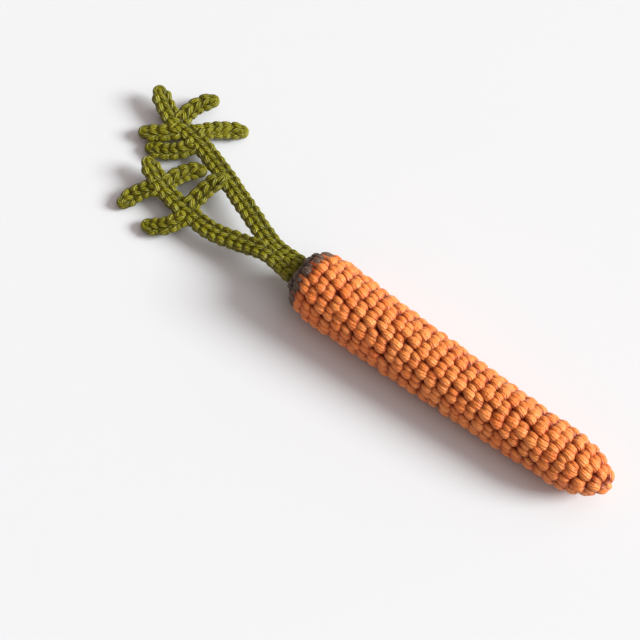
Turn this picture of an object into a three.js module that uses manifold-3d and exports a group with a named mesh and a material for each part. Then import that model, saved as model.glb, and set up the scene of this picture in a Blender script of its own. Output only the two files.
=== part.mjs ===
import * as THREE from 'three';
import { mergeVertices } from 'three/addons/utils/BufferGeometryUtils.js';
import Module from 'manifold-3d';

const wasm = await Module();
wasm.setup();

// A crocheted carrot lying on its side. X runs along the root from crown to tip, Z is up.
// The origin is on the flattened underside, near the middle of the root. Millimetres.

// Root: a stuffed sleeve of spiral single crochet
const rootLength = 145.5;
const crownEnd = -71.5;
const shoulderRadius = 15;
const shoulderLength = 14;
const tipRadius = 11.8;
const tipLength = 23;
const taperSag = 0.5;
const neckRadius = 10.8;
const mouthRadius = 8.2;
const mouthDepth = 3.6;
const sleeveWall = 4.2;
const settle = 0.7;
const bow = 0.8;

// Stitches of the root
const roundHeight = 4.95;
const stitchWidth = 6.2;
const stitchRelief = 1.5;
const stitchDrift = 0.17;
const stitchLean = 0.3;

// Crown: the last rounds, closing round the stems
const crownRadius = 10.2;
const crownRise = 3.4;
const crownRim = 6.4;
const plugDepth = 3;
const crownStitches = 12;
const crownRelief = 0.5;

// Fronds: flat strips of chain with a row of slip stitch along one edge
const stripWidth = 6.3;
const stripThickness = 3.2;
const stemPinch = 0.86;
const chainPitch = 3.7;
const chainRelief = 0.45;
const ringStep = 1.85;
const gap = 0.3;

const axisZ = shoulderRadius - settle;

function clamp01(value) {
  return Math.min(1, Math.max(0, value));
}

function smooth(from, to, value) {
  const t = clamp01((value - from) / (to - from));
  return t * t * (3 - 2 * t);
}

// Height and sideways bow of the root's centre line at a distance s from its crown end.
// The underside of the taper stays level, pressed flat by the settle depth.
function axisAt(s) {
  const u = clamp01((s - shoulderLength) / (rootLength - tipLength - shoulderLength));
  const fall = (shoulderRadius - tipRadius) * u + 2 * taperSag * u * (1 - u);
  const across = bow * ((2 * s / rootLength - 1) ** 2 - 0.4);
  return { y: across, z: axisZ - fall };
}

// Outline of the root at an inset from the stitch tops, from the shoulder to the tip
function rootOutline(inset) {
  const taperEnd = rootLength - tipLength;
  const middle = (shoulderLength + taperEnd) / 2;
  const middleRadius = (shoulderRadius + tipRadius) / 2 - taperSag;
  const outline = new THREE.Path();
  outline.moveTo(shoulderLength, shoulderRadius - inset);
  outline.quadraticCurveTo(middle, middleRadius - inset, taperEnd, tipRadius - inset);
  outline.absellipse(taperEnd, 0, tipLength - inset, tipRadius - inset, Math.PI / 2, 0, true);
  return outline;
}

// Rounds of stitches climb the root as one spiral. Each stitch is a leaning bump.
function stitchDepth(run, angle, radius) {
  const turn = ((-angle / (2 * Math.PI)) % 1 + 1) % 1;
  const climb = run / roundHeight - turn;
  const round = Math.floor(climb);
  const up = climb - round;
  const count = Math.max(6, Math.round(2 * Math.PI * radius / stitchWidth));
  const side = count * turn + stitchDrift * (round + turn) + stitchLean * up;
  const ridge = Math.sin(Math.PI * up) ** 0.8;
  const lobe = 0.4 + 0.6 * Math.sin(Math.PI * side) ** 2;
  return stitchRelief * (1 - ridge * lobe);
}

// Turns a lathed profile into the root's frame and lays it along the centre line
function alongRoot(profile, columns, shape) {
  const geometry = new THREE.LatheGeometry(profile, columns);
  const position = geometry.attributes.position;
  for (let i = 0; i < position.count; i += 1) {
    const s = position.getY(i);
    const y = position.getZ(i);
    const z = position.getX(i);
    const radius = Math.hypot(y, z);
    const angle = Math.atan2(z, y);
    const row = i % profile.length;
    const spot = shape ? shape(row, s, radius, angle) : { s, radius };
    const axis = axisAt(s);
    const height = axis.z + spot.radius * Math.sin(angle);
    position.setXYZ(
      i,
      crownEnd + spot.s,
      axis.y + spot.radius * Math.cos(angle),
      Math.max(0, height),
    );
  }
  return geometry;
}

function buildRoot() {
  const shoulder = new THREE.Path();
  shoulder.moveTo(0, neckRadius);
  shoulder.absellipse(
    shoulderLength,
    neckRadius,
    shoulderLength,
    shoulderRadius - neckRadius,
    Math.PI,
    Math.PI / 2,
    true,
  );
  const skin = new THREE.CurvePath();
  skin.add(shoulder);
  skin.add(rootOutline(0));
  const skinLength = skin.getLength();
  const rows = Math.round(skinLength / roundHeight * 3);
  const outside = skin.getSpacedPoints(rows);
  const inside = [new THREE.Vector2(0, mouthRadius), new THREE.Vector2(mouthDepth, mouthRadius)];
  inside.push(...rootOutline(sleeveWall).getPoints(5));
  inside.reverse();
  const profile = [...inside, ...outside].map((p) => new THREE.Vector2(Math.max(0, p.y), p.x));
  profile[0].x = 0;
  profile[profile.length - 1].x = 0;

  return alongRoot(profile, 46, (row, s, radius, angle) => {
    const run = skinLength * (row - inside.length) / rows;
    if (run <= 0 || radius < 0.01) {
      return { s, radius };
    }
    const below = Math.abs(Math.atan2(Math.cos(angle), -Math.sin(angle)));
    const pressed = smooth(0.35, 0.75, below);
    const ends = smooth(0, 3, run) * smooth(0, 6, skinLength - run);
    const depth = stitchDepth(run, angle, radius) * pressed * ends;
    return { s, radius: radius - Math.min(depth, radius / 2) };
  });
}

// Fibre filling, clear of the sleeve all round
function buildFilling() {
  const outline = rootOutline(sleeveWall + gap).getPoints(5);
  const front = new THREE.Vector2(plugDepth + mouthDepth, 0);
  const edge = new THREE.Vector2(plugDepth + mouthDepth, mouthRadius);
  const profile = [front, edge, ...outline].map((p) => new THREE.Vector2(Math.max(0, p.y), p.x));
  profile[profile.length - 1].x = 0;
  return alongRoot(profile, 20);
}

function toSolid(geometry) {
  const bare = geometry.clone();
  bare.deleteAttribute('normal');
  bare.deleteAttribute('uv');
  const merged = mergeVertices(bare, 1e-3);
  const corners = merged.index.array;
  const kept = [];
  for (let i = 0; i < corners.length; i += 3) {
    const [a, b, c] = [corners[i], corners[i + 1], corners[i + 2]];
    if (a !== b && b !== c && c !== a) {
      kept.push(a, b, c);
    }
  }
  return new wasm.Manifold(new wasm.Mesh({
    numProp: 3,
    vertProperties: new Float32Array(merged.attributes.position.array),
    triVerts: new Uint32Array(kept),
  }));
}

function toGeometry(body) {
  const mesh = body.getMesh();
  const geometry = new THREE.BufferGeometry();
  geometry.setAttribute('position', new THREE.BufferAttribute(mesh.vertProperties, 3));
  geometry.setIndex(new THREE.BufferAttribute(mesh.triVerts, 1));
  geometry.computeVertexNormals();
  return geometry;
}

// Domed cap that plugs the sleeve's mouth, with a slot for the two stems side by side
const stemWidth = stripWidth * stemPinch;
const stemOffset = (stemWidth + gap) / 2;

function buildCrown() {
  const dome = new THREE.Path();
  dome.moveTo(plugDepth, 0);
  dome.lineTo(plugDepth, mouthRadius - gap);
  dome.lineTo(-gap, mouthRadius - gap);
  dome.lineTo(-gap, crownRadius);
  dome.quadraticCurveTo(0.2 - crownRise, crownRadius, -crownRise, crownRim);
  dome.lineTo(-crownRise, 0);
  const points = dome.getPoints(6);
  const profile = points.map((p) => new THREE.Vector2(p.y, p.x));
  profile.reverse();
  const cap = alongRoot(profile, 36, (row, s, radius, angle) => {
    const onDome = s < -gap - 0.01 && radius > crownRim - 0.01;
    const lobe = Math.sin(crownStitches * angle / 2) ** 2;
    return { s, radius: onDome ? radius - crownRelief * (1 - lobe) : radius };
  });

  const centre = axisAt(0);
  const halfWide = stemWidth + gap / 2 + gap;
  const halfHigh = stripThickness / 2 + gap;
  const outline = new THREE.Shape();
  outline.absarc(halfWide - halfHigh, 0, halfHigh, -Math.PI / 2, Math.PI / 2);
  outline.absarc(halfHigh - halfWide, 0, halfHigh, Math.PI / 2, Math.PI * 1.5);
  const depth = crownRise + plugDepth + 4;
  const slot = new THREE.ExtrudeGeometry(outline, { depth, bevelEnabled: false, curveSegments: 8 });
  slot.rotateX(Math.PI / 2);
  slot.rotateZ(Math.PI / 2);
  slot.translate(crownEnd - crownRise - 2, centre.y, centre.z);
  return toGeometry(toSolid(cap).subtract(toSolid(slot)));
}

// A flat strip with rounded ends, bent along a route. Slanted bumps either side of a middle
// groove give the plaited look of the chain.
function bendStrip(route, width, pinched) {
  const length = route.getLength();
  const radius = width / 2;
  const rings = Math.round((length - width) / ringStep);
  const geometry = new THREE.CapsuleGeometry(radius, length - width, 3, 12, rings);
  const position = geometry.attributes.position;
  for (let i = 0; i < position.count; i += 1) {
    const along = position.getY(i) + length / 2;
    const across = position.getX(i) / radius;
    const over = position.getZ(i) / radius;
    const part = clamp01(along / length);
    const centre = route.getPointAt(part);
    const forward = route.getTangentAt(part);
    const side = new THREE.Vector3(forward.y, -forward.x, 0).normalize();
    const upward = side.clone().cross(forward);
    const swell = pinched ? stemPinch + (1 - stemPinch) * smooth(20, 36, along) : 1;
    const free = pinched ? smooth(12, 20, along) : 1;
    const wave = Math.sin(Math.PI * (along / chainPitch + 0.45 * Math.abs(across))) ** 2;
    const groove = Math.exp(-((across / 0.3) ** 2));
    const dip = chainRelief * free * (0.6 * groove + 0.8 * (1 - wave) * Math.abs(over));
    const notch = chainRelief * free * (1 - wave) * Math.abs(across);
    const reach = Math.sign(across) * Math.max(0, Math.abs(across) * radius * swell - notch);
    const rise = Math.sign(over) * Math.max(0, Math.abs(over) * stripThickness / 2 - dip);
    const spot = centre.clone().addScaledVector(side, reach).addScaledVector(upward, rise);
    position.setXYZ(i, spot.x, spot.y, spot.z);
  }
  return toSolid(geometry);
}

// A leaflet leaves its stem at a distance from the root of the stem. It sets off turned from
// the stem's heading, bends evenly along its length and ends at a given height.
function leafletRoute(stem, leaflet) {
  const part = leaflet.at / stem.getLength();
  const start = stem.getPointAt(part);
  const forward = stem.getTangentAt(part);
  let heading = Math.atan2(forward.y, forward.x) + THREE.MathUtils.degToRad(leaflet.turn);
  const bend = THREE.MathUtils.degToRad(leaflet.bend);
  const steps = 8;
  const points = [start.clone()];
  const spot = start.clone();
  for (let i = 1; i <= steps; i += 1) {
    heading += bend / steps;
    spot.x += Math.cos(heading) * leaflet.length / steps;
    spot.y += Math.sin(heading) * leaflet.length / steps;
    spot.z = start.z + (leaflet.endZ - start.z) * smooth(0, 1, i / steps);
    points.push(spot.clone());
  }
  return new THREE.CatmullRomCurve3(points);
}

function buildFrond(stemPoints, leaflets) {
  const stem = new THREE.CatmullRomCurve3(stemPoints.map((p) => new THREE.Vector3(...p)));
  let frond = bendStrip(stem, stripWidth, true);
  for (const leaflet of leaflets) {
    frond = frond.add(bendStrip(leafletRoute(stem, leaflet), stripWidth, false));
  }
  return toGeometry(frond);
}

// Each stem starts inside the sleeve, passes the slot level and then droops
const mouth = axisAt(0);
const upperY = mouth.y + stemOffset;
const lowerY = mouth.y - stemOffset;
const stemStart = crownEnd + plugDepth + mouthDepth - 0.6;
const stemClear = crownEnd - crownRise - 2.1;

const upperStem = [
  [stemStart, upperY, mouth.z],
  [stemClear, upperY, mouth.z],
  [-90, 4.6, 11.2],
  [-97, 6.8, 10.5],
  [-113, 13.2, 9.2],
  [-130.5, 20.3, 7.4],
  [-151.7, 27.3, 5.6],
  [-166, 29.3, 5.5],
  [-180.5, 36.8, 8.2],
];
const upperLeaflets = [
  { at: 88, turn: 92, bend: -75, length: 25, endZ: 2.4 },
  { at: 93, turn: -106, bend: -37, length: 25, endZ: 2.4 },
  { at: 97.5, turn: 58, bend: -31, length: 20.5, endZ: 3.8 },
  { at: 101, turn: -62, bend: -72, length: 22.5, endZ: 6 },
];

const lowerStem = [
  [stemStart, lowerY, mouth.z],
  [stemClear, lowerY, mouth.z],
  [-91, -0.6, 13.6],
  [-104, -2.4, 10.6],
  [-117, -4.2, 8],
  [-130, -2.9, 6.4],
  [-146, -0.2, 6.3],
  [-161.6, 6.2, 8.4],
];
const lowerLeaflets = [
  { at: 66, turn: 95, bend: -78, length: 22, endZ: 2.4 },
  { at: 68, turn: -80, bend: -29, length: 22.5, endZ: 10.8 },
  { at: 83, turn: 46, bend: 53, length: 21, endZ: 2.6 },
  { at: 82.5, turn: -61, bend: -76, length: 21.5, endZ: 6.8 },
];

function addMesh(group, name, geometry, color, roughness) {
  const material = new THREE.MeshStandardMaterial({ color, roughness, metalness: 0 });
  const mesh = new THREE.Mesh(geometry, material);
  mesh.name = name;
  group.add(mesh);
}

const carrot = new THREE.Group();
carrot.name = 'crocheted_carrot';
addMesh(carrot, 'root_sleeve', buildRoot(), '#d97742', 0.85);
addMesh(carrot, 'filling', buildFilling(), '#efece6', 0.95);
addMesh(carrot, 'crown', buildCrown(), '#5f5148', 0.85);
addMesh(carrot, 'frond_upper', buildFrond(upperStem, upperLeaflets), '#7f7c2c', 0.85);
addMesh(carrot, 'frond_lower', buildFrond(lowerStem, lowerLeaflets), '#7f7c2c', 0.85);

export default carrot;
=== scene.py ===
import math
import random

import bmesh
import bpy
import numpy as np
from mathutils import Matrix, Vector


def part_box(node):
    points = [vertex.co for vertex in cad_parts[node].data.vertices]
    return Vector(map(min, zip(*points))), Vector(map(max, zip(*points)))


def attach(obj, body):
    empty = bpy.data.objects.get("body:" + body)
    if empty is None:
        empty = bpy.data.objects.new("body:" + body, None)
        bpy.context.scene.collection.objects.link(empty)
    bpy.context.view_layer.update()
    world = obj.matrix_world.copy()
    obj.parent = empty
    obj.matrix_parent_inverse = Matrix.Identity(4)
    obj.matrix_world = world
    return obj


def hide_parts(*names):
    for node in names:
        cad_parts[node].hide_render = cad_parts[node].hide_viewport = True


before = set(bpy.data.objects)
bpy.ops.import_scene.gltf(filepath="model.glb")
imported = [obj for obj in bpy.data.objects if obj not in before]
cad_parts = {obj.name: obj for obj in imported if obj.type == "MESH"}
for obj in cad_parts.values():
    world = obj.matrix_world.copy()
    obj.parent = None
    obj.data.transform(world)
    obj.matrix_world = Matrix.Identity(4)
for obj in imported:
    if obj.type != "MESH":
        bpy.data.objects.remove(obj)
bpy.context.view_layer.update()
mm = 0.001
rootLow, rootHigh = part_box("root_sleeve")
crownX = rootLow.x  # where the orange starts
rootLength = rootHigh.x - rootLow.x
print("frame loaded, root", round(rootLength / mm, 1), "mm long")


# Camera and light

cameraView = {
    "azimuth": 37.1,  # degrees round from the side of the root
    "elevation": 66.0,
    "distance": 0.5544,
    "fieldOfView": 26.0,
    "target": (-0.0563, -0.01, 0.010),
}


def fromBearing(azimuth, elevation):
    a, e = math.radians(azimuth), math.radians(elevation)
    return Vector((math.sin(a) * math.cos(e), -math.cos(a) * math.cos(e), math.sin(e)))


def aimed(obj, place, target):
    obj.location = place
    obj.rotation_euler = (Vector(target) - Vector(place)).to_track_quat("-Z", "Y").to_euler()


def addCamera(view):
    data = bpy.data.cameras.new("camera")
    data.sensor_fit = "AUTO"
    data.angle = math.radians(view["fieldOfView"])
    data.clip_start = 0.01
    camera = bpy.data.objects.new("camera", data)
    bpy.context.scene.collection.objects.link(camera)
    target = Vector(view["target"])
    aimed(camera, target + fromBearing(view["azimuth"], view["elevation"]) * view["distance"], target)
    bpy.context.scene.camera = camera


lighting = {
    "key": {"azimuth": 122.0, "elevation": 31.0, "spread": 24.0, "strength": 4.95},
    "wall": {"azimuth": 123.0, "elevation": 46.0, "spread": 90.0, "strength": 1.35},
    "colour": (0.95, 1.0, 1.013),
    "worldColour": (1.0, 0.79, 0.75),  # warm light from the room behind
    "worldStrength": 0.32,
}


def addSun(name, light, colour):
    data = bpy.data.lights.new(name, "SUN")
    data.angle = math.radians(light["spread"])
    data.energy = light["strength"]
    data.color = colour
    sun = bpy.data.objects.new(name, data)
    bpy.context.scene.collection.objects.link(sun)
    aimed(sun, fromBearing(light["azimuth"], light["elevation"]) * 2, (0, 0, 0))


def addLight(light):
    addSun("key", light["key"], light["colour"])  # the window
    addSun("wall", light["wall"], light["colour"])  # the paler wall round it
    world = bpy.data.worlds.new("studio")
    world.use_nodes = True
    background = world.node_tree.nodes["Background"]
    background.inputs["Color"].default_value = (*light["worldColour"], 1)
    background.inputs["Strength"].default_value = light["worldStrength"]
    bpy.context.scene.world = world
    bpy.context.scene.view_settings.view_transform = "Standard"


addCamera(cameraView)
addLight(lighting)
print("camera and light set")


# Materials

def addNode(tree, kind, settings, sockets):
    node = tree.nodes.new(kind)
    for name, value in settings.items():
        setattr(node, name, value)
    for name, value in sockets.items():
        if isinstance(value, Wire):
            tree.links.new(value.socket, node.inputs[name])
        elif isinstance(value, bpy.types.NodeSocket):
            tree.links.new(value, node.inputs[name])
        else:
            node.inputs[name].default_value = value
    return node


class Wire:
    # a value in a node tree; sums written with it become Math nodes
    def __init__(self, socket):
        self.socket = socket

    def maths(self, operation, first, second=0.0):
        tree = self.socket.id_data
        node = addNode(tree, "ShaderNodeMath", {"operation": operation}, {0: first, 1: second})
        return Wire(node.outputs[0])

    def __add__(self, other):
        return self.maths("ADD", self, other)

    __radd__ = __add__

    def __sub__(self, other):
        return self.maths("SUBTRACT", self, other)

    def __rsub__(self, other):
        return self.maths("SUBTRACT", other, self)

    def __mul__(self, other):
        return self.maths("MULTIPLY", self, other)

    __rmul__ = __mul__

    def __pow__(self, other):
        return self.maths("POWER", self, other)

    def __rpow__(self, other):
        return self.maths("POWER", other, self)

    def sine(self):
        return self.maths("SINE", self)

    def limited(self, low, high):
        return self.maths("MINIMUM", self.maths("MAXIMUM", self, low), high)


def linear(colour):
    # 0 to 255 screen values to the linear ones that the shader takes
    return tuple(((c / 255 + 0.055) / 1.055) ** 2.4 if c > 10 else c / 255 / 12.92 for c in colour)


def mixColour(tree, factor, first, second, blend="MIX"):
    sockets = {0: factor}
    for slot, value in ((6, first), (7, second)):
        sockets[slot] = value if isinstance(value, bpy.types.NodeSocket) else (*value, 1)
    settings = {"data_type": "RGBA", "blend_type": blend}
    return addNode(tree, "ShaderNodeMix", settings, sockets).outputs[2]


def noise(tree, vector, scale, detail=2.0):
    sockets = {"Vector": vector, "Scale": scale, "Detail": detail}
    return Wire(addNode(tree, "ShaderNodeTexNoise", {}, sockets).outputs[0])


def newMaterial(name):
    material = bpy.data.materials.new(name)
    material.use_nodes = True
    material.node_tree.nodes.clear()
    return material, material.node_tree


def finishMaterial(tree, sockets):
    shader = addNode(tree, "ShaderNodeBsdfPrincipled", {}, sockets)
    addNode(tree, "ShaderNodeOutputMaterial", {}, {"Surface": shader.outputs[0]})


def yarnMaterial(name, look):
    material, tree = newMaterial(name)
    uv = addNode(tree, "ShaderNodeUVMap", {"uv_map": "UVMap"}, {})
    parts = addNode(tree, "ShaderNodeSeparateXYZ", {}, {0: uv.outputs[0]})
    along, around = Wire(parts.outputs[0]), Wire(parts.outputs[1])
    place = addNode(tree, "ShaderNodeTexCoord", {}, {}).outputs["Object"]
    sway = noise(tree, place, look["swayScale"])
    ply = ((around * look["plies"] + along * look["twist"] + sway * 1.5) * math.tau).sine() * 0.5 + 0.5
    ridge = ply ** 0.6
    fibre = noise(tree, place, look["fibreScale"], 3.0)
    patch = noise(tree, place, look["patchScale"])
    loop = Wire(addNode(tree, "ShaderNodeNewGeometry", {}, {}).outputs["Random Per Island"])
    # painted shade: each loop darkens towards its tucked ends, where it dives under its neighbours
    tucked = (along * 2.0 - 1.0) * (along * 2.0 - 1.0)
    sunk = Wire(addNode(tree, "ShaderNodeAttribute", {"attribute_name": "sunk"}, {}).outputs["Fac"])
    # the ridge term paints shade into the grooves between the plies
    shade = ((ridge - 0.5) * look["plyShade"] + fibre * 0.8 + 0.28 - tucked * 0.9).limited(0.0, 1.0)
    colour = mixColour(tree, shade, look["dark"], look["light"])
    tone = (loop * 0.6 + patch * 0.8 - 0.2).limited(0.0, 1.0)
    colour = mixColour(tree, tone * look["variation"], colour, look["warm"])
    # painted shade: the colour darkens where the yarn lies deep under the crest of the loops
    colour = mixColour(tree, sunk * 0.95, colour, look["creaseShade"])
    lumps = noise(tree, place, look["lumpScale"], 1.0)
    height = ridge * 0.7 + fibre * 0.4 + lumps * 1.5
    bump = addNode(tree, "ShaderNodeBump", {}, {
        "Strength": look["bump"],
        "Distance": 0.5 * mm,
        "Height": height,
    })
    finishMaterial(tree, {
        "Base Color": colour,
        "Roughness": 0.6 - ridge * 0.22,
        "Normal": bump.outputs[0],
        "Specular IOR Level": look["shine"],
        "Sheen Weight": look["fuzz"],
        "Sheen Roughness": 0.45,
        "Sheen Tint": (*look["fuzzColour"], 1),
    })
    return material


orangeYarn = {
    "dark": linear((190, 46, 0)),
    "light": linear((243, 132, 51)),
    "warm": linear((252, 176, 96)),
    "creaseShade": linear((116, 20, 0)),  # painted shade down between the loops
    "variation": 0.45,
    "plies": 12,
    "plyShade": 0.35,  # painted shade between the plies
    "twist": 1.6,
    "fibreScale": 1500.0,
    "patchScale": 90.0,
    "swayScale": 350.0,
    "lumpScale": 650.0,
    "bump": 0.6,
    "shine": 0.38,
    "fuzz": 0.12,
    "fuzzColour": (1.0, 0.78, 0.5),
}
greenYarn = {
    **orangeYarn,
    "dark": linear((26, 24, 0)),
    "light": linear((124, 119, 7)),
    "warm": linear((154, 147, 23)),
    # painted shade down between the loops
    "creaseShade": linear((21, 19, 0)),
    "plies": 7,
    # painted shade between the plies
    "plyShade": 0.9,
    "bump": 1.0,
    "shine": 0.36,
    "fuzz": 0.0,
    "fuzzColour": (0.9, 0.9, 0.4),
}
brownYarn = {
    **orangeYarn,
    "dark": linear((60, 43, 34)),
    "light": linear((102, 80, 65)),
    "warm": linear((111, 87, 71)),
    # painted shade down between the loops
    "creaseShade": linear((36, 25, 19)),
    "fuzz": 0.05,
}
shadedYarn = {
    **orangeYarn,
    "dark": linear((102, 28, 2)),
    "light": linear((137, 47, 8)),
    "warm": linear((146, 54, 12)),
}
orange = yarnMaterial("orange_cotton", orangeYarn)
green = yarnMaterial("green_cotton", greenYarn)
brown = yarnMaterial("brown_cotton", brownYarn)
backing = yarnMaterial("shaded_cotton", shadedYarn)
print("materials made")


# Yarn loops: every loop is a short thick strand with its ends tucked in

def addPiece(name, mesh, material, node=None):
    mesh.materials.clear()
    mesh.materials.append(material)
    piece = bpy.data.objects.new(name, mesh)
    bpy.context.scene.collection.objects.link(piece)
    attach(piece, "root")
    if node:
        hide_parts(node)
    print(name, len(mesh.polygons), "faces")
    return piece


def strandMesh(name, strands, sides=8):
    # strands are lists of (place, radius); each becomes a closed tube
    curve = bpy.data.curves.new(name, "CURVE")
    curve.dimensions = "3D"
    curve.bevel_depth = 1.0
    curve.bevel_resolution = sides // 2 - 2
    curve.use_fill_caps = True
    curve.resolution_u = 2
    for strand in strands:
        spline = curve.splines.new("NURBS")
        spline.points.add(len(strand) - 1)
        for point, (place, radius) in zip(spline.points, strand):
            point.co = (*place, 1)
            point.radius = radius
        spline.order_u = 3
        spline.use_endpoint_u = True
    holder = bpy.data.objects.new(name, curve)
    bpy.context.scene.collection.objects.link(holder)
    graph = bpy.context.evaluated_depsgraph_get()
    mesh = bpy.data.meshes.new_from_object(holder.evaluated_get(graph))
    bpy.data.objects.remove(holder)
    bpy.data.curves.remove(curve)
    bm = bmesh.new()
    bm.from_mesh(mesh)
    bmesh.ops.remove_doubles(bm, verts=bm.verts, dist=1e-6)
    bmesh.ops.recalc_face_normals(bm, faces=bm.faces)
    bm.to_mesh(mesh)
    bm.free()
    mesh.shade_smooth()
    return mesh


# Root: a spiral of single crochet on a tapering outline

rootShape = {
    "shoulderRadius": 15.0 * mm,
    "shoulderLength": 14.0 * mm,
    "tipRadius": 11.8 * mm,
    "tipLength": 23.0 * mm,
    "taperSag": 0.5 * mm,
    "neckRadius": 10.8 * mm,
    "domeRise": 3.2 * mm,  # how far the brown crown stands past the orange
    "domeRadius": 5.2 * mm,
    "settle": 0.7 * mm,  # how far the underside is pressed flat
    "bow": 0.8 * mm,
}
rootStitch = {
    "roundHeight": 4.68 * mm,
    "stitchWidth": 6.6 * mm,
    "drift": 0.2,  # stitches that the columns lean by each round
    "fullLoop": 2.22 * mm,  # strand radius of the front loop
    "slimLoop": 1.65 * mm,
    "loose": 0.14,  # unevenness of handwork
    "brownReach": 3.6 * mm,
    "liningDepth": 2.8 * mm,
}


def rootAxis(s):
    shape = rootShape
    reach = rootLength - shape["tipLength"] - shape["shoulderLength"]
    u = min(1, max(0, (s - shape["shoulderLength"]) / reach))
    fall = (shape["shoulderRadius"] - shape["tipRadius"]) * u + 2 * shape["taperSag"] * u * (1 - u)
    across = shape["bow"] * ((2 * s / rootLength - 1) ** 2 - 0.4)
    return across, shape["shoulderRadius"] - shape["settle"] - fall


def rootOutline(shape):
    # points (along, radius) over the crown, shoulder and taper to the tip
    points = [(-shape["domeRise"] - 0.4 * mm, 1.5 * mm)]
    for step in np.linspace(0, math.pi / 2, 14)[:-1]:
        along = -shape["domeRise"] * math.cos(step)
        rise = shape["neckRadius"] - shape["domeRadius"]
        points.append((along, shape["domeRadius"] + rise * math.sin(step)))
    for step in np.linspace(math.pi, math.pi / 2, 30)[1:]:
        along = shape["shoulderLength"] * (1 + math.cos(step))
        rise = shape["shoulderRadius"] - shape["neckRadius"]
        points.append((along, shape["neckRadius"] + rise * math.sin(step)))
    taperEnd = rootLength - shape["tipLength"]
    for u in np.linspace(0, 1, 60)[1:]:
        fall = (shape["shoulderRadius"] - shape["tipRadius"]) * u + 2 * shape["taperSag"] * u * (1 - u)
        along = shape["shoulderLength"] + (taperEnd - shape["shoulderLength"]) * u
        points.append((along, shape["shoulderRadius"] - fall))
    for step in np.linspace(math.pi / 2, 0, 40)[1:]:
        along = taperEnd + shape["tipLength"] * math.cos(step)
        points.append((along, shape["tipRadius"] * math.sin(step)))
    return np.array(points)


class Outline:
    # a turned outline that can be asked for places by the distance run along it
    def __init__(self, points):
        self.points = points
        steps = np.linalg.norm(np.diff(points, axis=0), axis=1)
        self.run = np.concatenate([[0], np.cumsum(steps)])
        self.length = self.run[-1]

    def at(self, run):
        return np.array([np.interp(run, self.run, self.points[:, k]) for k in (0, 1)])

    def inset(self, run, depth):
        along, radius = self.at(run)
        forward = self.at(run + 0.6 * mm) - self.at(run - 0.6 * mm)
        forward = forward / np.linalg.norm(forward)
        return along + forward[1] * depth, max(0.0, radius - forward[0] * depth)

    def spot(self, run, angle, depth):
        along, radius = self.inset(run, depth)
        y, z = rootAxis(along)
        return Vector((crownX + along, y + radius * math.cos(angle), z + radius * math.sin(angle)))


# each loop runs over (stitch widths round, round heights along, millimetres out, share of radius)
fullLoop = [
    (0.56, 0.01, -3.4, 0.52),
    (0.58, 0.18, -1.0, 0.68),
    (0.63, 0.50, 0.1, 1.00),
    (0.70, 0.84, 0.35, 1.24),
    (0.76, 1.04, -3.4, 1.00),
]
slimLoop = [
    (0.13, 0.01, -3.4, 0.72),
    (0.14, 0.16, -1.0, 0.92),
    (0.19, 0.46, -0.1, 1.06),
    (0.26, 0.76, -0.1, 1.06),
    (0.32, 0.94, -3.2, 0.85),
]
rootOut = Outline(rootOutline(rootShape))
mouthY, mouthZ = rootAxis(0)  # where the stems go in


def stitchStrands(stitch, count, turn, index, dice):
    # the two loops of one stitch; turn is the whole rounds worked before it
    strands = []
    shift = [dice.uniform(-1, 1) * stitch["loose"] for _ in range(3)]
    stretch = 1.32 if count < 10 and turn > 0 else 1.12  # loops drawn long to close the tip
    for path, thick in ((fullLoop, stitch["fullLoop"]), (slimLoop, stitch["slimLoop"])):
        strand = []
        lean, lift, swell = (dice.uniform(-1, 1) * stitch["loose"] for _ in range(3))
        for step, (across, up, out, share) in enumerate(path):
            if turn == 0 and step == 0:
                up, out, share = up - 0.55, out + 3.2, 0.65
            if count == 5 and turn > 0 and step == 4:
                up, out, share = up + 0.1, out + 2.6, 1.1  # the last loops meet over the tip
            place = (index - across + shift[0] * 0.6 + lean * (up - 0.5)) / count
            up = 0.5 + (up - 0.5) * stretch
            run = stitch["start"] + stitch["roundHeight"] * (turn + place + up - 0.5 + shift[1])
            angle = math.tau * (stitch["drift"] * turn / count - place - 0.25)
            run = min(max(run, 0.0), rootOut.length - 0.3 * mm)
            room = rootOut.at(run)[1] * math.tau / count / stitch["stitchWidth"]
            radius = thick * share * (1 + shift[2] * 0.5 + swell) * min(1.05, 0.4 + 0.62 * room)
            spot = rootOut.spot(run, angle, radius - (out + lift * 2) * mm)
            spot.z = max(spot.z, radius)
            strand.append((spot, radius))
        strands.append(strand)
    return strands


def stitchRounds(stitch, rounds):
    dice = random.Random(4)
    strands = []
    for turn in rounds:
        middle = rootOut.at(stitch["start"] + (turn + 0.5) * stitch["roundHeight"])[1]
        count = max(5, round(math.tau * middle / stitch["stitchWidth"]))
        for index in range(count):
            strands += stitchStrands(stitch, count, turn, index, dice)
    return strands


def markSunk(mesh):
    # how far each vertex lies under the crest of the loops, 0 to 1; the yarn colour takes painted shade
    # by it
    places = np.zeros(len(mesh.vertices) * 3)
    mesh.vertices.foreach_get("co", places)
    places = places.reshape(-1, 3)
    along = places[:, 0] - crownX
    middle = np.array([rootAxis(s) for s in along])
    crest = np.interp(along, rootOut.points[:, 0], rootOut.points[:, 1])
    depth = crest - np.hypot(*(places[:, 1:] - middle).T)
    sunk = mesh.attributes.new("sunk", "FLOAT", "POINT")
    sunk.data.foreach_set("value", np.clip((depth - 0.5 * mm) / (1.2 * mm), 0, 1))


def inStems(spot):
    return abs(spot.z - mouthZ) < 2.4 * mm and abs(spot.y - mouthY) < 6.6 * mm


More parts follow.
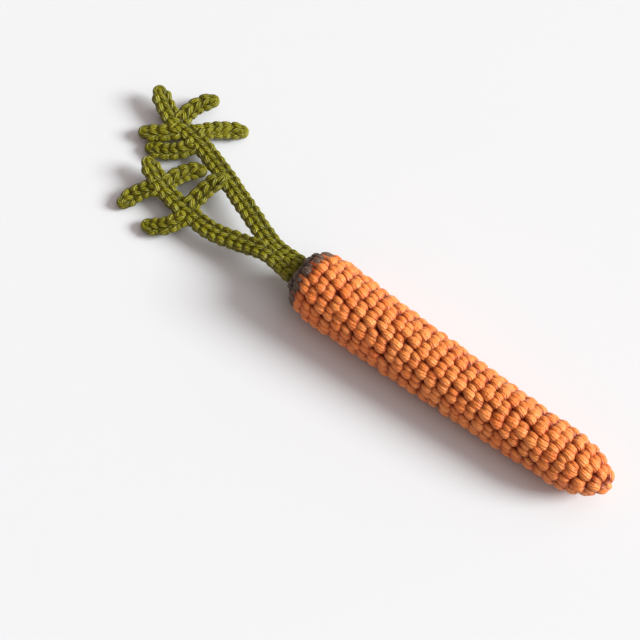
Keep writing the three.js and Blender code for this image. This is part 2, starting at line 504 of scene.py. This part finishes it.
def buildRoot():
    start = np.interp(rootStitch["brownReach"], rootOut.points[:, 0], rootOut.run)
    stitch = {**rootStitch, "start": start}
    reach = rootOut.length - stitch["start"]
    rounds = round(reach / stitch["roundHeight"] - 0.3)
    stitch["roundHeight"] = reach / (rounds + 0.3)
    mesh = strandMesh("root_stitches", stitchRounds(stitch, range(rounds)))
    markSunk(mesh)
    root = addPiece("root_stitches", mesh, orange, "root_sleeve")
    loops = [loop for loop in stitchRounds(stitch, range(-3, 0)) if not inStems(loop[2][0])]
    crown = strandMesh("crown_stitches", loops)
    markSunk(crown)
    addPiece("crown_stitches", crown, brown, "crown")


def buildLining():
    # the yarn behind the gaps: the same outline, a little smaller, spun into a closed form
    bm = bmesh.new()
    rim = [bm.verts.new((rootOut.points[0][0] + 2.4 * mm, 0, 0))]
    for run in np.linspace(1.2 * mm, rootOut.length - 3.5 * mm, 60):
        along, radius = rootOut.inset(run, rootStitch["liningDepth"])
        rim.append(bm.verts.new((along, radius, 0)))
    rim.append(bm.verts.new((rootLength - 1.2 * mm, 0, 0)))
    edges = [bm.edges.new(pair) for pair in zip(rim, rim[1:])]
    bmesh.ops.spin(
        bm, geom=rim + edges, cent=(0, 0, 0), axis=(1, 0, 0), angle=math.tau, steps=40, use_merge=True,
    )
    bmesh.ops.remove_doubles(bm, verts=bm.verts, dist=1e-6)
    bmesh.ops.recalc_face_normals(bm, faces=bm.faces)
    for vert in bm.verts:
        y, z = rootAxis(vert.co.x)
        vert.co += Vector((crownX, y, z))
        vert.co.z = max(vert.co.z, 0.8 * mm)
    mesh = bpy.data.meshes.new("root_lining")
    bm.to_mesh(mesh)
    bm.free()
    mesh.shade_smooth()
    addPiece("root_lining", mesh, backing)


buildRoot()
buildLining()


# Fronds: flat crocheted strips

frondStrip = {
    "pitch": 4.2 * mm,
    "strand": 1.13 * mm,
    "leafWidth": 1.1,
    "stemWidth": 1.08,
    "stemPinch": 0.9,  # how the stems narrow towards the crown
    "loose": 0.06,
}
stemGap = 2.86 * mm
frondPlans = {
    "frond_upper": {
        "stem": [
            (-90, 4.6, 11.2), (-97, 6.8, 10.5), (-113, 13.2, 9.2), (-130.5, 20.3, 7.4),
            (-151.7, 27.3, 5.6), (-166, 29.3, 5.5), (-180.5, 36.8, 8.2),
        ],
        "rootY": mouthY + stemGap,
        "leaflets": [
            {"at": 88, "turn": 92, "bend": -75, "length": 25, "endZ": 2.4},
            {"at": 93, "turn": -106, "bend": -37, "length": 25, "endZ": 2.4},
            {"at": 97.5, "turn": 58, "bend": -31, "length": 20.5, "endZ": 3.8},
            {"at": 101, "turn": -62, "bend": -72, "length": 22.5, "endZ": 6},
        ],
    },
    "frond_lower": {
        "stem": [
            (-91, -0.6, 13.6), (-104, -2.4, 10.6), (-117, -4.2, 8), (-130, -2.9, 6.4),
            (-146, -0.2, 6.3), (-161.6, 6.2, 8.4),
        ],
        "rootY": mouthY - stemGap,
        "leaflets": [
            {"at": 66, "turn": 95, "bend": -78, "length": 22, "endZ": 2.4},
            {"at": 68, "turn": -80, "bend": -29, "length": 22.5, "endZ": 10.8},
            {"at": 83, "turn": 46, "bend": 53, "length": 21, "endZ": 2.6},
            {"at": 82.5, "turn": -61, "bend": -76, "length": 21.5, "endZ": 6.8},
        ],
    },
}
# each loop runs over (pitches along, millimetres across, millimetres out, share of radius)
chainRows = [
    [
        (-0.12, 2.9, -0.9, 0.8), (0.05, 2.7, 0.25, 1.2), (0.42, 2.15, 0.75, 1.3),
        (0.75, 1.6, 0.5, 1.15), (0.95, 1.2, -0.8, 0.7),
    ],
    [
        (-0.15, -1.1, -0.7, 0.7), (0.05, -0.8, 0.6, 1.0), (0.42, -0.1, 1.05, 1.08),
        (0.78, 0.45, 0.75, 1.0), (1.0, 0.7, -0.6, 0.7),
    ],
    [
        (-0.2, -1.5, -0.6, 0.7), (0.02, -2.4, 0.35, 1.0), (0.38, -3.1, 0.5, 1.1),
        (0.72, -2.7, 0.1, 1.0), (0.92, -1.9, -0.8, 0.7),
    ],
]
# the loop round a strip's end and the one over it: (millimetres back, across, share of lift)
endLoop = [
    (-4.6, 1.9, 0.6), (-2.2, 2.0, 1.0), (-0.4, 1.0, 1.0),
    (-0.4, -1.0, 1.0), (-2.2, -2.0, 1.0), (-4.6, -1.9, 0.6),
]
endCover = [(-4.4, 0.1, 0.8), (-3.0, 0.1, 1.6), (-1.6, 0.1, 1.6), (-0.6, 0.1, 0.6)]


class Route:
    # a smooth line through points, asked for places by the distance along it
    def __init__(self, points, steps=12):
        p = np.array(points, float)
        p = np.vstack([2 * p[0] - p[1], p, 2 * p[-1] - p[-2]])
        line = [p[1]]
        for k in range(1, len(p) - 2):
            near = p[k - 1:k + 3]
            gaps = np.linalg.norm(np.diff(near, axis=0), axis=1)
            t = np.concatenate([[0], np.cumsum(np.sqrt(gaps))])
            for x in np.linspace(t[1], t[2], steps + 1)[1:]:
                row, width = near, 1
                while len(row) > 2:
                    row = [self.between(row, t, i, width, x) for i in range(len(row) - 1)]
                    width += 1
                share = (x - t[1]) / (t[2] - t[1])
                line.append(row[0] * (1 - share) + row[1] * share)
        self.line = np.array(line)
        steps = np.linalg.norm(np.diff(self.line, axis=0), axis=1)
        self.run = np.concatenate([[0], np.cumsum(steps)])
        self.length = self.run[-1]

    @staticmethod
    def between(row, t, i, width, x):
        share = (x - t[i]) / (t[i + width] - t[i])
        return row[i] * (1 - share) + row[i + 1] * share

    def at(self, run):
        return Vector([np.interp(run, self.run, self.line[:, k]) for k in range(3)])

    def heading(self, run):
        return (self.at(min(run + 0.5 * mm, self.length)) - self.at(max(run - 0.5 * mm, 0))).normalized()

    def spot(self, run, across, out):
        # past its end the line goes straight on
        forward = self.heading(run)
        side = forward.cross(Vector((0, 0, 1))).normalized()
        past = run - min(max(run, 0), self.length)
        return self.at(run) + forward * past + side * across + side.cross(forward) * out


def smooth(u):
    u = min(1, max(0, u))
    return u * u * (3 - 2 * u)


def leafletRoute(stem, leaflet):
    start = stem.at(leaflet["at"] * mm)
    ahead = stem.heading(leaflet["at"] * mm)
    bearing = math.atan2(ahead.y, ahead.x) + math.radians(leaflet["turn"])
    points, place = [start], start.copy()
    for step in range(1, 9):
        bearing += math.radians(leaflet["bend"]) / 8
        place = place + Vector((math.cos(bearing), math.sin(bearing), 0)) * (leaflet["length"] * mm / 8)
        place.z = start.z + (leaflet["endZ"] * mm - start.z) * smooth(step / 8)
        points.append(place)
    return Route(points)


def stripStrands(route, first, flip, pinched, dice):
    strip = frondStrip
    strands = []

    def laid(run, across, out, radius):
        wide = strip["leafWidth"]
        if pinched:
            grown = smooth((run - 20 * mm) / (16 * mm))
            wide = strip["stemPinch"] + (strip["stemWidth"] - strip["stemPinch"]) * grown
        spot = route.spot(run, across * mm * wide, out * mm)
        spot.z = max(spot.z, radius)
        return spot, radius

    last = route.length - 3.6 * mm
    steps = max(1, round((last - first) / strip["pitch"]))
    for step in range(steps):
        for face in (1, -1):
            for row in chainRows:
                shift = [dice.uniform(-1, 1) * strip["loose"] for _ in range(3)]
                strands.append([
                    laid(
                        first + (last - first) * (step + along + shift[0]) / steps,
                        (across + shift[1]) * flip * face,
                        (out + shift[1]) * face,
                        strip["strand"] * share * (1 + shift[2]),
                    )
                    for along, across, out, share in row
                ])
    for across in (-1.2, 0, 1.2):
        count = int(route.length / (3 * mm))
        runs = np.linspace(max(0, first - 3 * mm), route.length - 2.4 * mm, count)
        strands.append([laid(run, across, 0, 0.85 * mm) for run in runs])
    end = route.length - 0.9 * mm
    for out in (0.5, -0.5):
        for path in (endLoop, endCover):
            strands.append([
                laid(end + back * mm, across, out * lift, strip["strand"])
                for back, across, lift in path
            ])
    return strands


def buildFrond(name, plan, seed):
    dice = random.Random(seed)
    inside = [(-65.5 * mm, plan["rootY"], mouthZ), (-77 * mm, plan["rootY"], mouthZ)]
    stem = Route(inside + [tuple(c * mm for c in point) for point in plan["stem"]])
    strands = stripStrands(stem, 2 * mm, -1, True, dice)
    for leaflet in plan["leaflets"]:
        flip = 1 if leaflet["turn"] > 0 else -1
        strands += stripStrands(leafletRoute(stem, leaflet), 2.4 * mm, flip, False, dice)
    addPiece(name + "_yarn", strandMesh(name, strands), green, name)


for seed, (name, plan) in enumerate(frondPlans.items()):
    buildFrond(name, plan, seed)


# Filling, inside

def fillingMaterial(look):
    material, tree = newMaterial("white_fibre")
    place = addNode(tree, "ShaderNodeTexCoord", {}, {}).outputs["Object"]
    tuft = noise(tree, place, look["tuftScale"], 4.0)
    colour = mixColour(tree, tuft, look["shade"], look["light"])
    finishMaterial(tree, {"Base Color": colour, "Roughness": 0.9 + tuft * 0.1})
    return material


fillingLook = {
    "tuftScale": 300.0,
    "shade": linear((222, 219, 212)),
    "light": linear((248, 246, 242)),
}
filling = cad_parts["filling"].data
filling.materials.clear()
filling.materials.append(fillingMaterial(fillingLook))
print("filling finished")


# Floor

floorLook = {"size": 6.0, "colour": linear((214, 214, 215)), "cloudColour": linear((210, 210, 212))}


def addFloor(look):
    bm = bmesh.new()
    bmesh.ops.create_grid(bm, x_segments=1, y_segments=1, size=look["size"] / 2)
    mesh = bpy.data.meshes.new("floor")
    bm.to_mesh(mesh)
    bm.free()
    material, tree = newMaterial("pale_table")
    place = addNode(tree, "ShaderNodeTexCoord", {}, {}).outputs["Object"]
    cloud = noise(tree, place, 3.0)
    colour = mixColour(tree, cloud * 0.3, look["colour"], look["cloudColour"])
    finishMaterial(tree, {"Base Color": colour, "Roughness": 0.7})
    mesh.materials.append(material)
    floor = bpy.data.objects.new("floor", mesh)
    bpy.context.scene.collection.objects.link(floor)


addFloor(floorLook)
print("floor laid")
